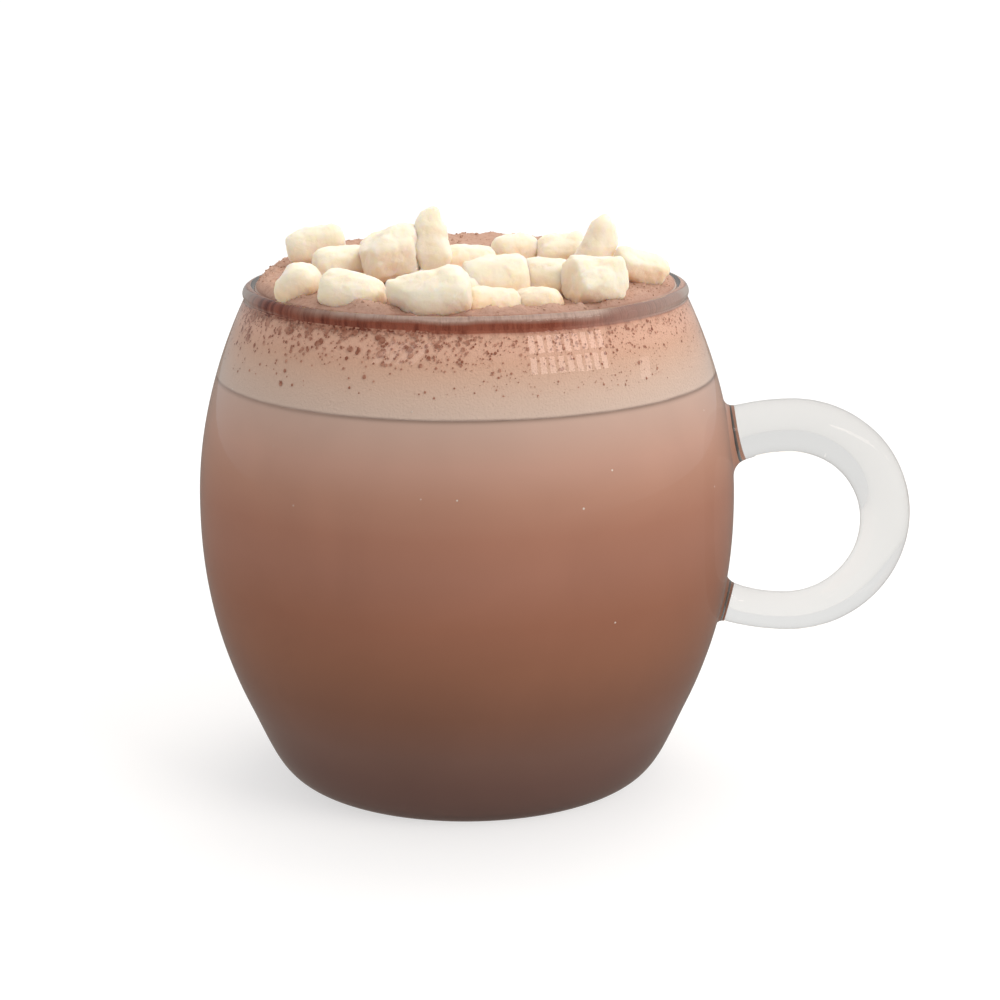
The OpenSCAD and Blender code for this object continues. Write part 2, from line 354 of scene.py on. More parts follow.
def melt_roots(mesh):
    """Draws glass into the crease where the rod meets the wall, as a flame does."""
    samples = 500
    middles, radii = [], []
    for k in range(samples):
        share = k / (samples - 1)
        x, z = rod_middle(mix(TOP_ANGLE, LOW_ANGLE, share))
        middles.append((x, 0, z))
        radii.append(rod_radius(share))
    middles, radii = np.array(middles), np.array(radii)
    heights = np.linspace(CORNER_H, NECK_H, 400)
    wall_r = np.array([side_r(z) for z in heights])

    def off_wall(p):
        """How far points stand off the wall."""
        return np.hypot(p[:, 0], p[:, 1]) - np.interp(p[:, 2], heights, wall_r)

    def blend(p):
        """How far points stand off the melted skin, and how near they are to the crease."""
        from_wall = off_wall(p)
        q = p.copy()
        q[:, 1] /= ROD_WIDE
        gaps = np.linalg.norm(q[:, None, :] - middles[None], axis=2) - radii[None]
        from_rod = gaps.min(axis=1)
        near = np.clip(MELT - np.abs(from_wall - from_rod), 0, None) / MELT
        return np.minimum(from_wall, from_rod) - near * near * MELT / 4, near

    # Only the outer skin round the roots is moved, never the inside or the lip.
    co = points_of(mesh)
    by_handle = (co[:, 0] > 0.7 * BELLY_R) & (np.abs(co[:, 1]) < 11 * MM)
    by_height = (co[:, 2] > CORNER_H + 4 * MM) & (co[:, 2] < NECK_H - 4 * MM)
    chosen = np.where((off_wall(co) > -0.3 * MM) & by_handle & by_height)[0]
    p = co[chosen]
    step, longest = 0.02 * MM, 0.4 * MM
    for _ in range(4):
        value, near = blend(p)
        slope = np.stack([(blend(p + step * axis)[0] - value) / step for axis in np.eye(3)], axis=1)
        length = np.linalg.norm(slope, axis=1, keepdims=True).clip(0.3)
        move = -value[:, None] * slope / length ** 2
        move[near <= 0] = 0
        p = p + np.clip(move, -longest, longest)
    co[chosen] = p
    set_points(mesh, co)


# ---------------------------------------------------------------- finishes

def mirrored_rays(tree):
    """The kinds of ray, and whether a ray was mirrored. A ray that went through clear glass counts
    as glossy too, so it is taken off."""
    ray = add(tree, "ShaderNodeLightPath").outputs
    mirrored = add(tree, "ShaderNodeMath", {0: ray["Is Glossy Ray"], 1: ray["Is Transmission Ray"]},
                   operation="SUBTRACT", use_clamp=True)
    return ray, mirrored.outputs[0]


def height_share(tree, low, high):
    """A point's place, its x, y and z, and how far up it lies between two heights, from 0 to 1."""
    place = add(tree, "ShaderNodeTexCoord").outputs["Object"]
    ways = add(tree, "ShaderNodeSeparateXYZ", {0: place}).outputs
    share = add(tree, "ShaderNodeMapRange", {0: ways["Z"], 1: low, 2: high})
    return place, ways, share.outputs[0]


def blown_clear_glass():
    """Soda glass, blown and fire-polished: sharp reflections that waver a little, and a trace of
    grey where it is thick. Light, shadows and mirrored rays go straight through it, which keeps
    what fills it bright and keeps the handle out of the belly's reflection."""
    finish, tree = new_finish("blown_clear_glass")
    place = add(tree, "ShaderNodeTexCoord").outputs["Object"]
    waves = add(tree, "ShaderNodeTexNoise", {"Vector": place, "Scale": 1 / (14 * MM), "Detail": 1.0})
    bump = add(tree, "ShaderNodeBump", {"Strength": 0.05, "Distance": 0.3 * MM,
                                        "Height": waves.outputs[0]})
    body = add(tree, "ShaderNodeBsdfPrincipled", {
        "Base Color": linear("#f7f7f6"), "Roughness": 0.0, "IOR": 1.5,
        "Transmission Weight": 1.0, "Normal": bump.outputs[0]})
    lets_light = add(tree, "ShaderNodeBsdfTransparent", {"Color": linear("#fafafa")})
    ray, mirrored = mirrored_rays(tree)
    either = add(tree, "ShaderNodeMath", {0: ray["Is Shadow Ray"], 1: ray["Is Diffuse Ray"]},
                 operation="MAXIMUM")
    any_of = add(tree, "ShaderNodeMath", {0: either.outputs[0], 1: mirrored}, operation="MAXIMUM")
    both = add(tree, "ShaderNodeMixShader", {0: any_of.outputs[0], 1: body.outputs[0],
                                             2: lets_light.outputs[0]})
    depth = add(tree, "ShaderNodeVolumeAbsorption", {"Color": linear("#c8c7c5"), "Density": 56.0})
    add(tree, "ShaderNodeOutputMaterial", {"Surface": both.outputs[0], "Volume": depth.outputs[0]})
    return finish


# Colours of the cocoa by height in mm, from the floor of the mug up to the foam: painted shade, darker
# towards the bottom and lighter towards the top.
COCOA_SHADE_BY_HEIGHT = [
    (2, "#745850"), (8, "#7b5b52"), (14, "#866357"), (22, "#906451"), (30, "#a06d56"),
    (38, "#aa735c"), (46, "#b6806b"), (52, "#bd8670"), (58, "#ca9781"), (63, "#d6a895"),
    (69.6, "#dab8a8"), (70.0, "#ccac9d"), (70.3, "#cbaa99"),
]


def milky_cocoa():
    """Milk with cocoa stirred in: soft and matt behind the glass, painted darker towards the bottom as
    shade, with slow swirls from the spoon."""
    finish, tree = new_finish("milky_cocoa")
    place, _, share = height_share(tree, 0.0, FOAM_LINE_H)
    # Painted shade by height: dark low down, light near the top.
    ramp = add(tree, "ShaderNodeValToRGB", {0: share})
    fill_ramp(ramp.color_ramp, [(h * MM / FOAM_LINE_H, code) for h, code in COCOA_SHADE_BY_HEIGHT])
    swirls = add(tree, "ShaderNodeTexNoise", {"Vector": place, "Scale": 1 / (26 * MM),
                                              "Detail": 3.0, "Distortion": 0.8})
    light = add(tree, "ShaderNodeMapRange", {0: swirls.outputs[0], 1: 0.3, 2: 0.7, 3: 0.96, 4: 1.04})
    colour = add(tree, "ShaderNodeVectorMath", {0: ramp.outputs[0], 1: light.outputs[0]},
                 operation="MULTIPLY")
    body = add(tree, "ShaderNodeBsdfPrincipled", {
        "Base Color": colour.outputs[0], "Roughness": 0.6, "Specular IOR Level": 0.0})
    add(tree, "ShaderNodeOutputMaterial", {"Surface": body.outputs[0]})
    return finish


# Colours of the foam by height in mm, from the drink's surface up to the lip and over it. The pale
# stops from 84.7 to 85.3 mm are a painted highlight for the bead's own reflection, and the dark stop
# at 85.5 mm is a painted dark line for the bead's top edge.
FOAM_AND_BEAD_LIGHT_BY_HEIGHT = [
    (70.3, "#c8a99b"), (70.6, "#e6ccbc"), (73.3, "#e8c9b6"), (76.8, "#e9c0a8"), (78.5, "#ebbca2"),
    (80.3, "#f3c2a9"), (82.4, "#f2c0a6"), (82.8, "#dfa790"), (83.1, "#b06b54"), (84.5, "#9f5641"),
    (84.7, "#b98f7e"), (84.82, "#dfc0b2"), (85.3, "#d4b3a5"), (85.5, "#8e6050"), (85.9, "#b89484"),
    (87.5, "#c9a592"), (90.5, "#c6a18e"),
]
FOAM_LOW, FOAM_TOP = 70.3, 90.5

# Where the foam's dust, streaks and painted pale band beside the bead begin and end, as shares of the
# way from FOAM_LOW to FOAM_TOP.
DUST_GROWS = (0.55, 0.76)
STREAKS_START, STREAKS_END = (0.56, 0.65), (0.715, 0.70)
SHEEN_BAND_START, SHEEN_BAND_END = (0.62, 0.64), (0.77, 0.755)


def cocoa_dusted_foam():
    """Fine milk foam, whipped and sieved over with cocoa: pale where it meets the drink, reddish and
    grainy under its dust, with dark streaks where wet cocoa has run inside the lip. Behind the bead it
    carries a painted highlight and a painted dark line, and round the back and right a painted pale
    band for the bead's glass."""
    finish, tree = new_finish("cocoa_dusted_foam")
    place, ways, share = height_share(tree, FOAM_LOW * MM, FOAM_TOP * MM)

    # The foam's own colour, whose levels waver a little, with the bead's painted highlight and painted
    # dark line in its ramp.
    patches = add(tree, "ShaderNodeTexNoise", {"Vector": place, "Scale": 1 / (9 * MM), "Detail": 3.0})
    shift = add(tree, "ShaderNodeMapRange", {0: patches.outputs[0], 1: 0.3, 2: 0.7,
                                             3: -0.006, 4: 0.006})
    moved = add(tree, "ShaderNodeMath", {0: share, 1: shift.outputs[0]}, operation="ADD")
    ramp = add(tree, "ShaderNodeValToRGB", {0: moved.outputs[0]})
    span = FOAM_TOP - FOAM_LOW
    fill_ramp(ramp.color_ramp, [((h - FOAM_LOW) / span, code) for h, code in FOAM_AND_BEAD_LIGHT_BY_HEIGHT])

    # Dust, in grains that are coarser than real cocoa so that they show.
    dust = add(tree, "ShaderNodeTexNoise", {"Vector": place, "Scale": 1 / (0.7 * MM),
                                            "Detail": 4.0, "Roughness": 0.7})
    dusty = add(tree, "ShaderNodeMapRange", {0: dust.outputs[0], 1: 0.5, 2: 0.68})
    high = add(tree, "ShaderNodeMapRange", {0: share, 1: DUST_GROWS[0], 2: DUST_GROWS[1], 4: 0.4})
    amount = add(tree, "ShaderNodeMath", {0: dusty.outputs[0], 1: high.outputs[0]},
                 operation="MULTIPLY")
    colour = add(tree, "ShaderNodeMix", {"Factor": amount.outputs[0], "A": ramp.outputs[0],
                                         "B": linear("#8a5540")}, data_type="RGBA")

    # Tall streaks of wet cocoa, strongest on the left.
    tall = add(tree, "ShaderNodeVectorMath", {0: place, 1: (1.0, 1.0, 0.28)}, operation="MULTIPLY")
    streaks = add(tree, "ShaderNodeTexNoise", {"Vector": tall.outputs[0], "Scale": 1 / (1.3 * MM),
                                               "Detail": 4.0, "Roughness": 0.65})
    run = add(tree, "ShaderNodeMapRange", {0: streaks.outputs[0], 1: 0.44, 2: 0.62})
    rise = add(tree, "ShaderNodeMapRange", {0: share, 1: STREAKS_START[0], 2: STREAKS_START[1]})
    fall = add(tree, "ShaderNodeMapRange", {0: share, 1: STREAKS_END[0], 2: STREAKS_END[1]})
    left = add(tree, "ShaderNodeMapRange", {0: ways["X"], 1: 8 * MM, 2: -20 * MM, 3: 0.5, 4: 1.0})
    most = add(tree, "ShaderNodeMath", {0: rise.outputs[0], 1: fall.outputs[0]}, operation="MULTIPLY")
    lean = add(tree, "ShaderNodeMath", {0: most.outputs[0], 1: left.outputs[0]}, operation="MULTIPLY")
    stain = add(tree, "ShaderNodeMath", {0: run.outputs[0], 1: lean.outputs[0]}, operation="MULTIPLY")
    colour = add(tree, "ShaderNodeMix", {"Factor": stain.outputs[0], "A": colour.outputs["Result"],
                                         "B": linear("#6b2a1a")}, data_type="RGBA")

    # Beside the bead, round the back and on the right: a painted pale band in place of the brown, for
    # the bead's grey glass and highlights seen there.
    back = add(tree, "ShaderNodeMapRange", {0: ways["Y"], 1: -17 * MM, 2: -6 * MM})
    right = add(tree, "ShaderNodeMapRange", {0: ways["X"], 1: 14 * MM, 2: 33 * MM, 4: 0.6})
    sheen_sides = add(tree, "ShaderNodeMath", {0: back.outputs[0], 1: right.outputs[0]},
                operation="MAXIMUM")
    above = add(tree, "ShaderNodeMapRange", {0: share, 1: SHEEN_BAND_START[0], 2: SHEEN_BAND_START[1], 4: 0.92})
    below = add(tree, "ShaderNodeMapRange", {0: share, 1: SHEEN_BAND_END[0], 2: SHEEN_BAND_END[1]})
    band = add(tree, "ShaderNodeMath", {0: above.outputs[0], 1: below.outputs[0]},
               operation="MULTIPLY")
    painted_sheen = add(tree, "ShaderNodeMath", {0: band.outputs[0], 1: sheen_sides.outputs[0]},
                operation="MULTIPLY")
    colour = add(tree, "ShaderNodeMix", {"Factor": painted_sheen.outputs[0], "A": colour.outputs["Result"],
                                         "B": linear("#d3c4ba")}, data_type="RGBA")

    # Bubbles of the foam, too small to show one by one.
    grain = add(tree, "ShaderNodeTexNoise", {"Vector": place, "Scale": 1 / (0.35 * MM), "Detail": 3.0})
    bump = add(tree, "ShaderNodeBump", {"Strength": 0.7, "Distance": 0.18 * MM,
                                        "Height": grain.outputs[0]})
    body = add(tree, "ShaderNodeBsdfPrincipled", {
        "Base Color": colour.outputs["Result"], "Roughness": 0.85, "Specular IOR Level": 0.1,
        "Normal": bump.outputs[0]})
    add(tree, "ShaderNodeOutputMaterial", {"Surface": body.outputs[0]})
    return finish


# A marshmallow is painted a warm shade low down, for light bounced up from the cocoa: none above the
# first height and most below the second, in metres. Both rise towards the back with the crown it lies
# on.
WARM_SHADE_TOP_H, WARM_SHADE_FULL_H = 92.6 * MM, 89.4 * MM
CROWN_TILT = 0.081


def starch_dusted_marshmallow():
    """Whipped sugar, cut and dusted with starch: matt and powdery, with light that glows in its
    creases, and a warm foot painted in as shade lit by the cocoa below."""
    finish, tree = new_finish("starch_dusted_marshmallow")
    place = add(tree, "ShaderNodeTexCoord").outputs["Object"]
    ways = add(tree, "ShaderNodeSeparateXYZ", {0: place}).outputs
    patches = add(tree, "ShaderNodeTexNoise", {"Vector": place, "Scale": 1 / (5 * MM), "Detail": 3.0})
    colour = add(tree, "ShaderNodeMix", {"Factor": patches.outputs[0], "A": linear("#fff2e3"),
                                         "B": linear("#fde8d0")}, data_type="RGBA")
    # Painted warm shade on the lower part, by height over the crown.
    above = add(tree, "ShaderNodeMath", {0: ways["Y"], 1: -CROWN_TILT, 2: ways["Z"]},
                operation="MULTIPLY_ADD")
    uneven = add(tree, "ShaderNodeMath", {0: patches.outputs[0], 1: 2.4 * MM, 2: above.outputs[0]},
                 operation="MULTIPLY_ADD")
    warm_shade = add(tree, "ShaderNodeMapRange", {0: uneven.outputs[0], 1: WARM_SHADE_TOP_H, 2: WARM_SHADE_FULL_H, 4: 0.6})
    colour = add(tree, "ShaderNodeMix", {"Factor": warm_shade.outputs[0], "A": colour.outputs["Result"],
                                         "B": linear("#ecc79c")}, data_type="RGBA")
    grain = add(tree, "ShaderNodeTexNoise", {"Vector": place, "Scale": 1 / (0.45 * MM),
                                             "Detail": 4.0, "Roughness": 0.65})
    pits = add(tree, "ShaderNodeTexNoise", {"Vector": place, "Scale": 1 / (1.6 * MM), "Detail": 2.0})
    height = add(tree, "ShaderNodeMath", {0: pits.outputs[0], 1: 2.0, 2: grain.outputs[0]},
                 operation="MULTIPLY_ADD")
    bump = add(tree, "ShaderNodeBump", {"Strength": 0.6, "Distance": 0.14 * MM,
                                        "Height": height.outputs[0]})
    body = add(tree, "ShaderNodeBsdfPrincipled", {
        "Base Color": colour.outputs["Result"], "Roughness": 0.9, "Specular IOR Level": 0.15,
        "Subsurface Weight": 0.85, "Subsurface Scale": 2.2 * MM,
        "Subsurface Radius": (1.0, 0.78, 0.42), "Normal": bump.outputs[0]})
    add(tree, "ShaderNodeOutputMaterial", {"Surface": body.outputs[0]})
    return finish


def grains_and_glint_dots(name, dark, light):
    """Small matt dots, uneven in shade from one to the next: bits that have drawn up milk, and painted
    glints.
    """
    finish, tree = new_finish(name)
    place = add(tree, "ShaderNodeTexCoord").outputs["Object"]
    shade = add(tree, "ShaderNodeTexNoise", {"Vector": place, "Scale": 1 / (1.1 * MM), "Detail": 2.0})
    share = add(tree, "ShaderNodeMapRange", {0: shade.outputs[0], 1: 0.35, 2: 0.65})
    colour = add(tree, "ShaderNodeMix", {"Factor": share.outputs[0], "A": linear(dark),
                                         "B": linear(light)}, data_type="RGBA")
    body = add(tree, "ShaderNodeBsdfPrincipled", {
        "Base Color": colour.outputs["Result"], "Roughness": 0.8, "Specular IOR Level": 0.1})
    add(tree, "ShaderNodeOutputMaterial", {"Surface": body.outputs[0]})
    return finish


GLASS = blown_clear_glass()
COCOA = milky_cocoa()
FOAM = cocoa_dusted_foam()
MARSHMALLOW = starch_dusted_marshmallow()
# Cocoa powder, sieved on and wetted: reddish brown dots against the foam.
SPECKS = grains_and_glint_dots("wet_cocoa_specks", "#a0644e", "#cf9a83")
# Painted glints: pale dots for light caught on tiny bubbles at the glass.
GLINT_DOTS = grains_and_glint_dots("painted_glints", "#ddc8bb", "#fff6ee")
# Milk foam that has dried with cocoa on it: crumbs a little darker than the crown.
CRUMBS = grains_and_glint_dots("foam_crumbs", "#b08872", "#cfab97")


# ---------------------------------------------------------------- the glass mug

def mug_turns():
    """Angles round the mug, closer together where the handle is melted on."""
    fine, rest = 44, 116
    span = math.radians(20)
    near = [mix(-span / 2, span / 2, i / fine) for i in range(fine)]
    far = [mix(span / 2, 2 * math.pi - span / 2, i / rest) for i in range(rest)]
    return near + far


def blow_mug():
    """The mug with its bead, and the handle's rod joined and melted on."""
    outer = outer_outline()
    inner = inner_outline(WALL_T, FLOOR_T)
    bead = arc(BEAD_AT, BEAD_R, -38, 180, 30)
    outline = [(0, 0)] + outer + bead + inner[::-1] + [(0, FLOOR_T)]
    points, faces = lathe(outline, mug_turns())
    body = new_piece("mug", new_mesh("mug", points, faces), GLASS, ("glass",))
    rod = new_object("rod", rod_mesh())
    join = body.modifiers.new("melt", "BOOLEAN")
    join.operation = "UNION"
    join.solver = "MANIFOLD"
    join.object = rod
    apply_modifiers(body)
    bpy.data.objects.remove(rod)
    melt_roots(body.data)
    body.data.shade_smooth()


# ---------------------------------------------------------------- the drink

def pour_drink():
    """The cocoa, level at the foam's line."""
    low = FLOOR_T - INTO_WALL
    side = [p for p in inner_outline(WALL_T - INTO_WALL, low) if p[1] < FOAM_LINE_H]
    outline = [(0, low)] + side + [(filling_r(FOAM_LINE_H), FOAM_LINE_H), (0, FOAM_LINE_H)]
    mesh = new_mesh("drink_in_mug", *lathe(outline, even_turns(180)))
    new_piece("drink_in_mug", mesh, COCOA, ("drink",))


# ---------------------------------------------------------------- marshmallows

# Faces pressed or torn flat on single marshmallows: number: [(way the face looks, how far out)],
# where 1 is as far as the marshmallow reaches that way.
FACES = {
    1: [((-0.95, -0.1, -0.2), 0.92)],
    4: [((-0.2, -0.7, 0.7), 0.9)],
    5: [((-0.85, -0.5, -0.2), 0.8), ((0.1, -0.6, 0.8), 0.88), ((0.95, -0.3, 0.1), 0.74),
        ((-0.55, -0.1, 0.83), 0.72)],
    6: [((0.0, -0.6, 0.8), 0.8)],
    7: [((1.0, -0.1, 0.05), 0.8), ((-0.2, -1.0, 0.1), 0.85)],
    8: [((-0.72, -0.62, -0.3), 0.74), ((-0.15, -0.66, 0.74), 0.86), ((0.45, -0.75, -0.5), 0.82)],
    10: [((0.0, -0.9, 0.3), 0.86), ((-0.3, 0.0, 0.95), 0.86)],
    12: [((-0.5, -0.3, 0.8), 0.8), ((0.6, -0.3, 0.7), 0.82)],
    13: [((-0.75, -0.6, 0.3), 0.8), ((0.5, -0.8, 0.1), 0.86)],
    15: [((-0.85, -0.5, 0.1), 0.72), ((0.05, -0.7, 0.72), 0.78), ((0.75, -0.6, 0.2), 0.76),
         ((0.1, -0.75, -0.65), 0.8)],
    16: [((0.35, -0.45, 0.82), 0.72), ((0.3, -0.9, -0.2), 0.8)],
}
# Places where a marshmallow is drawn out or pushed in, in millimetres: number: [(place from its
# middle, how far it moves, reach)].
DRAWS = {
    3: [((0.0, -1.5, -2.5), (0.3, -0.3, -0.3), 3.0)],
    4: [((3.0, -1.5, -2.0), (0.4, -0.5, -0.8), 4.0), ((-3.0, -1.0, 1.5), (-0.2, -0.2, 0.5), 2.6)],
    5: [((-0.5, -1.0, 4.0), (0.4, 0.0, 0.5), 2.4), ((-4.6, -1.0, 1.6), (0.0, 0.0, -0.5), 2.4)],
    7: [((0.2, 0.0, 5.8), (0.6, -0.4, 0.9), 2.0), ((-2.0, -0.5, 1.6), (-0.8, -0.8, 0.0), 3.2),
        ((-2.4, -1.0, -1.0), (-1.3, -1.6, 0.0), 3.6), ((2.0, -1.0, -0.5), (1.0, -1.6, 0.0), 4.0),
        ((1.8, 0.0, 3.4), (0.6, -0.4, 0.2), 2.4)],
    8: [((3.6, 0.0, 3.0), (-0.2, 0.0, 0.7), 3.0), ((-5.6, -1.0, 1.0), (-0.6, 0.0, 0.5), 2.0),
        ((-5.2, -1.5, -2.6), (1.2, 0.0, 0.2), 2.4), ((0.0, -2.0, -3.0), (0.0, -0.4, -0.7), 4.0)],
    9: [((0.0, -1.5, -2.0), (0.0, -0.6, 0.0), 3.5)],
    17: [((0.0, -2.0, -1.0), (0.0, -0.7, -0.6), 4.0)],
    18: [((0.0, -2.0, -1.0), (0.0, -0.7, -0.6), 4.0)],
    12: [((2.2, 0.0, 2.4), (0.3, 0.0, 1.0), 1.8), ((-3.6, 0.0, 2.2), (0.0, 0.0, 0.5), 1.6)],
    13: [((2.1, 0.0, 3.6), (0.7, 0.0, 0.0), 1.3), ((0.9, 0.0, 5.4), (0.6, 0.0, 0.4), 1.8),
         ((2.4, 0.0, 1.8), (-0.6, 0.0, 0.0), 1.2), ((-2.4, 0.0, -2.5), (-1.0, 0.0, -0.2), 2.4)],
    15: [((-3.6, -1.0, 2.8), (-0.2, 0.0, 0.6), 2.0), ((4.2, -1.0, 3.0), (0.4, 0.0, 0.9), 2.2),
         ((0.6, -1.5, 3.4), (0.0, 0.3, -0.9), 1.8), ((4.6, -1.5, -3.0), (0.6, 0.0, -0.4), 2.2)],
    16: [((-2.8, 0.0, 2.6), (-0.5, 0.0, 0.8), 1.8), ((3.6, 0.0, 0.6), (0.5, 0.0, -0.6), 2.2)],
}


def press_face(co, middle, way, share, give=0.85):
    """Flattens what stands out beyond a plane that looks a way."""
    way = np.array(way) / np.linalg.norm(way)
    out = (co - middle) @ way
    past = np.clip(out - share * out.max(), 0, None)
    return co - give * past[:, None] * way


def draw_out(co, middle, place, move, reach):
    """Moves what is within reach of a place, most in its middle."""
    far = np.linalg.norm(co - middle - np.array(place) * MM, axis=1) / (reach * MM)
    pull = np.clip(1 - far * far, 0, None) ** 2
    return co + pull[:, None] * np.array(move) * MM


def soft_marshmallow(number):
    """One marshmallow: its solid rounded off, then made uneven like torn and squashed sugar."""
    chance = random.Random(700 + number)
    node = "marshmallow_%d" % number
    piece = new_piece("soft_" + node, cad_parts[node].data.copy(), MARSHMALLOW,
                      (node,))
    skin = piece.modifiers.new("skin", "REMESH")
    skin.mode = "VOXEL"
    skin.voxel_size = 0.3 * MM
    apply_modifiers(piece)
    co = points_of(piece.data)
    middle = (co.min(0) + co.max(0)) / 2
    for _ in range(4):
        way = [chance.uniform(-1, 1), chance.uniform(-1, 0.4), chance.uniform(-0.6, 1)]
        co = press_face(co, middle, way, chance.uniform(0.84, 0.96), 0.7)
    for way, share in FACES.get(number, []):
        co = press_face(co, middle, way, share)
    for place, move, reach in DRAWS.get(number, []):
        co = draw_out(co, middle, place, move, reach)
    set_points(piece.data, co)
    ease = piece.modifiers.new("ease", "SMOOTH")
    ease.factor = 0.5
    ease.iterations = 9
    apply_modifiers(piece)
    swell(piece.data, Vector((number * 3.1, number * 1.7, 0)))
    return piece


def swell(mesh, shift):
    """Lumps of three sizes and thin creases, in a pattern that the shift picks."""
    lumps = ((0.34, 3.4 * MM), (0.17, 1.4 * MM), (0.07, 0.65 * MM))
    crease_depth, crease_width, crease_size = 0.1, 0.12, 2.6 * MM
    puffed = 0.3  # makes up for what the smoothing took off
    co = points_of(mesh)
    normals = np.empty(len(mesh.vertices) * 3)
    mesh.vertices.foreach_get("normal", normals)
    out = np.empty(len(co))
    for i, p in enumerate(co):
        q = Vector(p)
        off_crease = abs(noise.noise(q / crease_size + 2 * shift))
        out[i] = (sum(height * noise.noise(q / size + shift) for height, size in lumps)
                  - crease_depth * max(0, crease_width - off_crease) / crease_width + puffed) * MM
    set_points(mesh, co + normals.reshape(-1, 3) * out[:, None])
    mesh.shade_smooth()


# ---------------------------------------------------------------- foam

# The crown starts from the inside of the bead, at an angle in degrees round the bead's middle.
CROWN_START = 135
CROWN_R = BEAD_AT[0] + BEAD_R * math.cos(math.radians(CROWN_START)) - 0.2 * MM
CROWN_LOW = BEAD_AT[1] + BEAD_R * math.sin(math.radians(CROWN_START))
# How high it stands over the lip in the middle, and how much higher at its back and lower at its
# right, in millimetres.
CROWN_OVER, CROWN_BACK, CROWN_RIGHT = 2.3, 2.75, 0.7


def foam_top(x, y):
    """Height of the foam's crown at a place in the mug's mouth."""
    wave = 0.3 * math.sin(math.radians(14) * x / MM) * math.cos(math.radians(11) * y / MM)
    above_lip = (CROWN_OVER + (CROWN_BACK * y - CROWN_RIGHT * x) / CROWN_R + wave) * MM
    out = min(1.0, math.hypot(x, y) / CROWN_R)
    return CROWN_LOW + (MUG_H - CROWN_LOW + above_lip) * math.sqrt(1 - out ** 10)


# Small mounds of foam near the lip, in millimetres: (across, back, height, reach).
MOUNDS = [(-16.4, -30.2, 1.6, 2.2), (-13.0, -31.6, 1.4, 1.8), (4.5, -33.0, 1.0, 2.0),
          (9.0, -32.0, 1.1, 2.2), (14.0, -31.0, 1.2, 2.2), (18.5, -28.8, 1.1, 2.2),
          (24.5, -24.5, 1.1, 2.4), (28.5, -19.0, 1.0, 2.6), (-29.0, -17.0, 0.8, 2.6)]


def foam_relief(x, y):
    """Lumps all over, crumbs near the lip, and the mounds, in millimetres."""
    up = Vector((0, 0, 1))
    q = Vector((x, y, 0))
    lumps = (0.30 * noise.noise(q / (5 * MM)) + 0.16 * noise.noise(q / (2.1 * MM) + up)
             + 0.10 * noise.noise(q / (0.9 * MM) + 2 * up))
    near_lip = smooth((math.hypot(x, y) / CROWN_R - 0.72) / 0.2)
    crumbs = (0.7 * max(0, noise.noise(q / (1.5 * MM) + 5 * up))
              + 0.35 * abs(noise.noise(q / (0.7 * MM) + 7 * up))) * near_lip
    mounds = sum(h * math.exp(-((x / MM - at) ** 2 + (y / MM - back) ** 2) / reach ** 2)
                 for at, back, h, reach in MOUNDS)
    return lumps + crumbs + mounds


def spoon_foam(marshmallows):
    """The foam up to its crown, which gives way under each marshmallow and creeps up its side."""
    clear = 0.1 * MM
    creep_up, creep_reach = 0.2 * MM, 1.6 * MM
    margin = 2 * MM
    up = Vector((0, 0, 1))
    turns = even_turns(380)
    side = [p for p in inner_outline(WALL_T - INTO_WALL, FLOOR_T) if p[1] > FOAM_LINE_H]
    bead_side = arc(BEAD_AT, BEAD_R - INTO_WALL, 180, CROWN_START, 6)
    low = [(0, FOAM_LINE_H), (filling_r(FOAM_LINE_H), FOAM_LINE_H)] + side + bead_side
    rings = 130
    radii = [CROWN_R * math.sin(math.pi / 2 * k / rings) for k in range(rings, 0, -1)]
    points, faces = lathe(low + [(r, 0) for r in radii] + [(0, foam_top(0, 0))], turns)
    around = []
    for m in marshmallows:
        co = points_of(m.data)
        around.append((skin_of(m), co.min(0) - margin, co.max(0) + margin))
    first_on_crown = 1 + (len(low) - 1) * len(turns)
    for index in range(first_on_crown, len(points)):
        x, y, _ = points[index]
        p = Vector((x, y, foam_top(x, y)))
        rough = smooth((1 - math.hypot(x, y) / CROWN_R) / 0.06)
        p.z += foam_relief(x, y) * rough * MM
        creep = 0.0
        for skin, box_low, box_high in around:
            if not (box_low[0] < x < box_high[0] and box_low[1] < y < box_high[1]):
                continue
            under = skin.ray_cast(Vector((x, y, FOAM_LINE_H)), up)[0]
            if under is not None and under.z < p.z + clear:
                p.z = min(p.z, under.z - clear)
                creep = 0.0
                break
            gap = skin.find_nearest(p, creep_reach)[3]
            if gap is not None:
                creep = max(creep, creep_up * (1 - gap / creep_reach) ** 2)
        p.z += creep * rough
        points[index] = tuple(p)
    mesh = new_mesh("foam_with_crown", points, faces)
    return new_piece("foam_with_crown", mesh, FOAM, ("foam",))


# ---------------------------------------------------------------- specks, painted glints and crumbs

def speck(points, faces, angle, height, r, chance, sides=9):
    """A low, uneven dome that lies against the wall, where the filling meets the glass."""
    wall_r = filling_r(height)
    slope = side_slope(height)
    proud = min(0.05 * MM, 0.2 * r)
    lift = 0.008 * MM
    first = len(points)
    reach = [chance.uniform(0.86, 1.1) for _ in range(sides)]
    for share, out in ((1.0, 0.0), (0.7, proud)):
        for turn, far in zip(even_turns(sides), reach):
            across, up = share * r * far * math.cos(turn), share * r * far * math.sin(turn)
            rr = wall_r + slope * up + out + lift
            a = angle + across / rr
            points.append((rr * math.cos(a), rr * math.sin(a), height + up))
    for out in (1.1 * proud, -proud):
        rr = wall_r + out
        points.append((rr * math.cos(angle), rr * math.sin(angle), height))
    top, bottom = first + 2 * sides, first + 2 * sides + 1
    for k in range(sides):
        j = (k + 1) % sides
        faces.append((first + k, first + j, first + sides + j, first + sides + k))
        faces.append((first + sides + k, first + sides + j, top))
        faces.append((first + j, first + k, bottom))


def set_specks(name, points, faces, finish):
    """One piece of many specks, with flat sides so that their low rims don't look dark."""
    mesh = new_mesh(name, points, faces)
    mesh.shade_flat()
    new_piece(name, mesh, finish)


